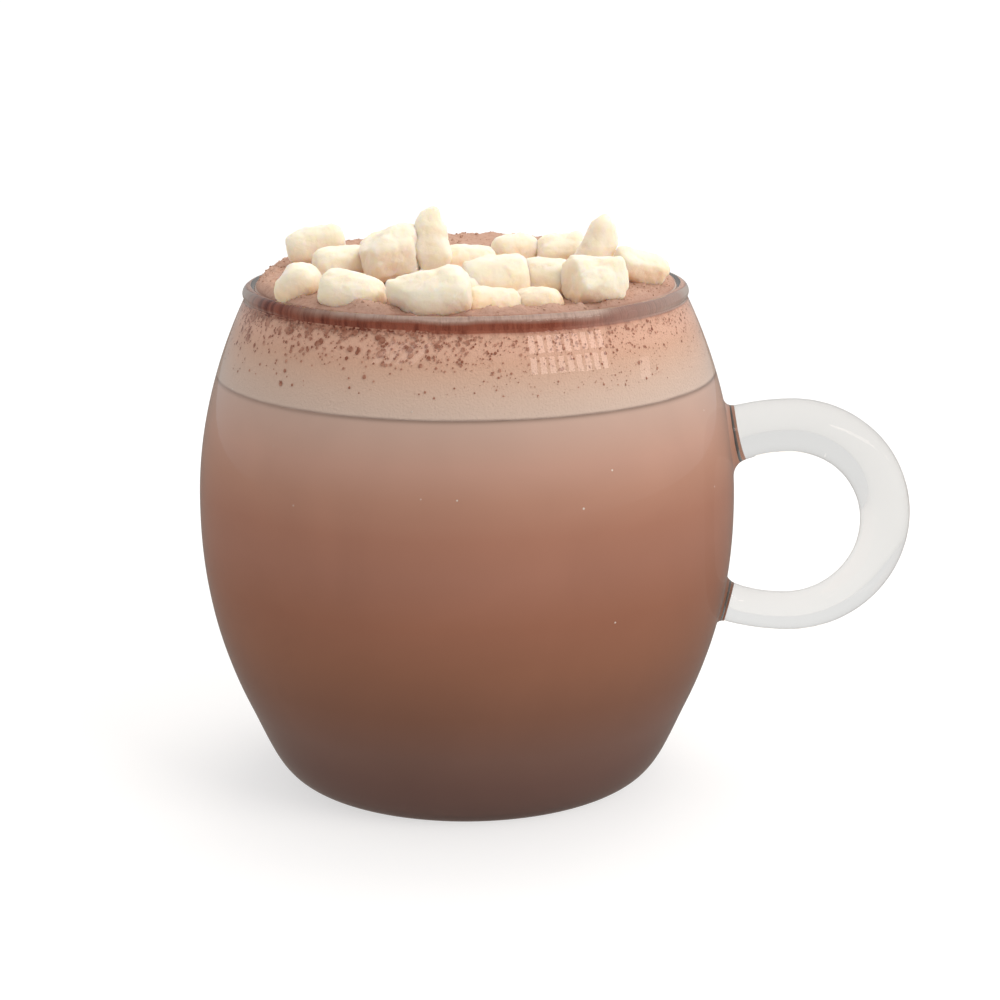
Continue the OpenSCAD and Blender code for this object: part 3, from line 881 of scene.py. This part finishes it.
def scatter_specks(count=3200):
    """Cocoa that has gathered under the lip: blots on one side, and fine dots further down."""
    blots_at, bare_at = math.radians(-128), math.radians(-115)
    deepest = 12.5
    chance = random.Random(41)
    points, faces = [], []
    made = 0
    while made < count:
        angle = chance.uniform(-math.pi, math.pi)
        blots = smooth((math.cos(angle - blots_at) - 0.72) / 0.22)
        depth = chance.expovariate(1 / mix(4.6, 2.4, blots)) + mix(3.4, 2.0, blots)
        if depth > deepest:
            continue
        # Fewer on the far side, and gathered in clouds.
        if math.cos(angle - bare_at) < chance.uniform(-1.6, 0.9):
            continue
        spot = Vector((3.2 * math.cos(angle), 3.2 * math.sin(angle), depth / 9))
        if noise.noise(spot * 2.2) < chance.uniform(-0.7, 0.3):
            continue
        r = chance.lognormvariate(math.log(mix(0.085, 0.16, blots)), 0.5)
        r = min(r * mix(1.15, 0.85, depth / deepest), mix(0.27, 0.6, blots))
        speck(points, faces, angle, MUG_H - depth * MM, r * MM, chance)
        made += 1
    set_specks("cocoa_specks", points, faces, SPECKS)


def scatter_painted_glints(count=34):
    """White dots against the glass below the foam: painted glints where light catches tiny bubbles."""
    lowest, highest = 20 * MM, FOAM_LINE_H + 6 * MM
    chance = random.Random(5)
    points, faces = [], []
    for _ in range(count):
        height = mix(lowest, highest, math.sqrt(chance.random()))
        angle = chance.uniform(-math.pi, math.pi)
        r = chance.uniform(0.1, 0.2) * MM
        speck(points, faces, angle, height, r, chance)
    set_specks("painted_glints", points, faces, GLINT_DOTS)


def crumb_shape():
    """A lump a unit in radius: two rings of six points between two tips."""
    upper = [(0.9 * math.cos(a), 0.9 * math.sin(a), 0.3) for a in even_turns(6)]
    lower = [(0.7 * math.cos(a + 0.5), 0.7 * math.sin(a + 0.5), -0.6) for a in even_turns(6)]
    skin = []
    for i in range(6):
        j = (i + 1) % 6
        skin += [(0, 1 + i, 1 + j), (1 + i, 7 + i, 1 + j), (7 + i, 7 + j, 1 + j), (13, 7 + j, 7 + i)]
    return [(0, 0, 1)] + upper + lower + [(0, 0, -1)], skin


def scatter_crumbs(foam, count=1300):
    """Loose crumbs of foam and cocoa on the crown, thickest near the lip. Those that would fall
    under a marshmallow are left out."""
    chance = random.Random(17)
    crown_skin = skin_of(foam)
    lump, skin = crumb_shape()
    down = Vector((0, 0, -1))
    points, faces = [], []
    dropped = 0
    while dropped < count:
        angle = chance.uniform(-math.pi, math.pi)
        out = 1 - chance.expovariate(1 / 0.22)
        if out < 0.05 or out > 0.985:
            continue
        dropped += 1
        x, y = CROWN_R * out * math.cos(angle), CROWN_R * out * math.sin(angle)
        spot = crown_skin.ray_cast(Vector((x, y, 0.2)), down)[0]
        if spot is None or spot.z < foam_top(x, y) - 0.3 * MM:
            continue
        r = min(0.34, chance.lognormvariate(math.log(0.13), 0.4)) * MM
        first = len(points)
        for p in lump:
            q = Vector(p) * r * chance.uniform(0.75, 1.2)
            points.append(spot + Vector((q.x, q.y, q.z * 0.8 + 0.3 * r)))
        faces += [tuple(first + k for k in f) for f in skin]
    new_piece("foam_crumbs", new_mesh("foam_crumbs", points, faces), CRUMBS)


blow_mug()
pour_drink()
heap = [soft_marshmallow(number) for number in range(1, MARSHMALLOWS + 1)]
crown = spoon_foam(heap)
scatter_specks()
scatter_painted_glints()
scatter_crumbs(crown)


# ---------------------------------------------------------------- studio

def lay_floor():
    """A plain white table top under the mug. It is duller for light that the glass mirrors and
    for light that falls on the mug from below."""
    rim = [(0.85 * math.cos(a), 0.85 * math.sin(a), 0) for a in even_turns(96)]
    floor = new_object("floor", new_mesh("floor", rim, [tuple(range(len(rim)))]))
    finish, tree = new_finish("plain_white_floor")
    body = add(tree, "ShaderNodeBsdfDiffuse", {"Color": linear("#bcbcbc")})
    glow = add(tree, "ShaderNodeEmission", {"Color": linear("#ffffff"), "Strength": 0.56})
    bright = add(tree, "ShaderNodeAddShader", {0: body.outputs[0], 1: glow.outputs[0]})
    dull = add(tree, "ShaderNodeEmission", {"Color": linear("#dccfc6"), "Strength": 0.34})
    ray, mirrored = mirrored_rays(tree)
    less = add(tree, "ShaderNodeMath", {0: ray["Is Diffuse Ray"], 1: 0.4, 2: mirrored},
               operation="MULTIPLY_ADD")
    both = add(tree, "ShaderNodeMixShader", {0: less.outputs[0], 1: bright.outputs[0],
                                             2: dull.outputs[0]})
    add(tree, "ShaderNodeOutputMaterial", {"Surface": both.outputs[0]})
    put_on(floor.data, finish)


def hang_softbox(name, place, width, height, watts, code):
    """A soft lamp that lights the mug's middle and doesn't show in the glass."""
    lamp = bpy.data.lights.new(name, "AREA")
    lamp.shape = "RECTANGLE"
    lamp.size, lamp.size_y = width, height
    lamp.energy = watts
    lamp.color = linear(code)[:3]
    softbox = new_object(name, lamp)
    softbox.location = place
    towards = Vector((0, 0, 0.05)) - Vector(place)
    softbox.rotation_euler = towards.to_track_quat("-Z", "Y").to_euler()
    softbox.visible_glossy = False


def light_studio():
    """A white room: lighter on the right and at the back, plain white where it is seen, and dim
    where the glass mirrors it."""
    world = bpy.data.worlds.new("studio")
    world.use_nodes = True
    tree = world.node_tree
    tree.nodes.clear()
    seen = add(tree, "ShaderNodeBackground", {"Color": linear("#ffffff"), "Strength": 1.05})
    way = add(tree, "ShaderNodeTexCoord").outputs["Generated"]
    ways = add(tree, "ShaderNodeSeparateXYZ", {0: way}).outputs
    lean = add(tree, "ShaderNodeMath", {0: ways["X"], 1: 0.5, 2: ways["Y"]},
               operation="MULTIPLY_ADD")
    share = add(tree, "ShaderNodeMapRange", {0: lean.outputs[0], 1: -1.1, 2: 1.1})
    walls = add(tree, "ShaderNodeValToRGB", {0: share.outputs[0]})
    fill_ramp(walls.color_ramp, [(0.0, "#a0a0a0"), (0.3, "#c8c7c6"), (0.5, "#ebeae9"),
                                 (0.7, "#fbfbfb")])
    room = add(tree, "ShaderNodeBackground", {"Color": walls.outputs[0], "Strength": 1.0})
    dim = add(tree, "ShaderNodeBackground", {"Color": walls.outputs[0], "Strength": 0.4})
    ray = add(tree, "ShaderNodeLightPath").outputs
    through = add(tree, "ShaderNodeMath", {0: ray["Is Camera Ray"], 1: ray["Is Transmission Ray"]},
                  operation="MAXIMUM")
    lit = add(tree, "ShaderNodeMixShader", {0: ray["Is Glossy Ray"], 1: room.outputs[0],
                                            2: dim.outputs[0]})
    both = add(tree, "ShaderNodeMixShader", {0: through.outputs[0], 1: lit.outputs[0],
                                             2: seen.outputs[0]})
    add(tree, "ShaderNodeOutputWorld", {"Surface": both.outputs[0]})
    bpy.context.scene.world = world
    hang_softbox("key", (0.62, -0.55, 0.75), 0.5, 0.5, 4.5, "#fffaf4")
    hang_softbox("fill", (-0.8, -0.5, 0.5), 0.6, 0.6, 0.7, "#ffffff")
    hang_softbox("top", (0.1, 0.35, 0.9), 0.6, 0.6, 2.5, "#fff6ea")


def mirrored_place(angle, height, away=1.2):
    """Where a lamp must hang to show in the mug's side at an angle in degrees and a height in mm."""
    turn, z = math.radians(angle), height * MM
    r = side_r(z)
    spot = Vector((r * math.cos(turn), r * math.sin(turn), z))
    normal = Vector((math.cos(turn), math.sin(turn), -side_slope(z))).normalized()
    way = (spot - CAMERA_AT).normalized()
    return spot + (way - 2 * way.dot(normal) * normal) * away


def hang_window(name, angles, heights, columns, rows, slant, strength):
    """A window with bars, far off, that shows only as a reflection in the glass. It fills the
    angles and heights given, leans over by the slant and is as bright as the strength."""
    left, right, bar = 0.14, 0.78, 0.1
    pane = [(left, 0), (left, 0.5), (left, 1), (right, 1), (right, 0.5), (right, 0)]
    points, faces = [], []
    for row in range(rows):
        for column in range(columns):
            first = len(points)
            for a, b in pane:
                up = (row + bar + (1 - 2 * bar) * b) / rows
                across = (column + a) / columns + slant * up
                points.append(mirrored_place(mix(*angles, across), mix(*heights, up)))
            faces.append((first, first + 1, first + 4, first + 5))
            faces.append((first + 1, first + 2, first + 3, first + 4))
    window = new_object(name, new_mesh(name, points, faces))
    finish, tree = new_finish(name)
    glow = add(tree, "ShaderNodeEmission", {"Color": linear("#fff0ea"), "Strength": strength})
    add(tree, "ShaderNodeOutputMaterial", {"Surface": glow.outputs[0]})
    put_on(window.data, finish)
    window.visible_camera = window.visible_diffuse = window.visible_shadow = False
    window.visible_transmission = False


def set_camera():
    """Looks down on the mug a little, with the handle on the right."""
    data = bpy.data.cameras.new("camera")
    data.lens = 82.87
    data.sensor_width = 36
    data.clip_start, data.clip_end = 0.01, 50
    camera = new_object("camera", data)
    pitch, roll = math.radians(90 - 13.92), math.radians(-0.23)
    camera.matrix_world = (Matrix.Translation(CAMERA_AT)
                           @ Matrix.Rotation(pitch, 4, "X") @ Matrix.Rotation(roll, 4, "Z"))
    bpy.context.scene.camera = camera
    bpy.context.scene.view_settings.view_transform = "Standard"


lay_floor()
light_studio()
hang_window("right_window", (-75, -55), (77.0, 83.2), 9, 2, 0.0, 3.6)
hang_window("far_right_window", (-48, -43), (74.5, 78.5), 1, 1, 0.3, 1.6)
hang_window("left_window", (-112, -101), (78.5, 82.6), 4, 1, 0.5, 1.5)
hang_window("low_window", (-82, -70), (23.0, 33.0), 2, 1, 0.0, 0.9)
set_camera()
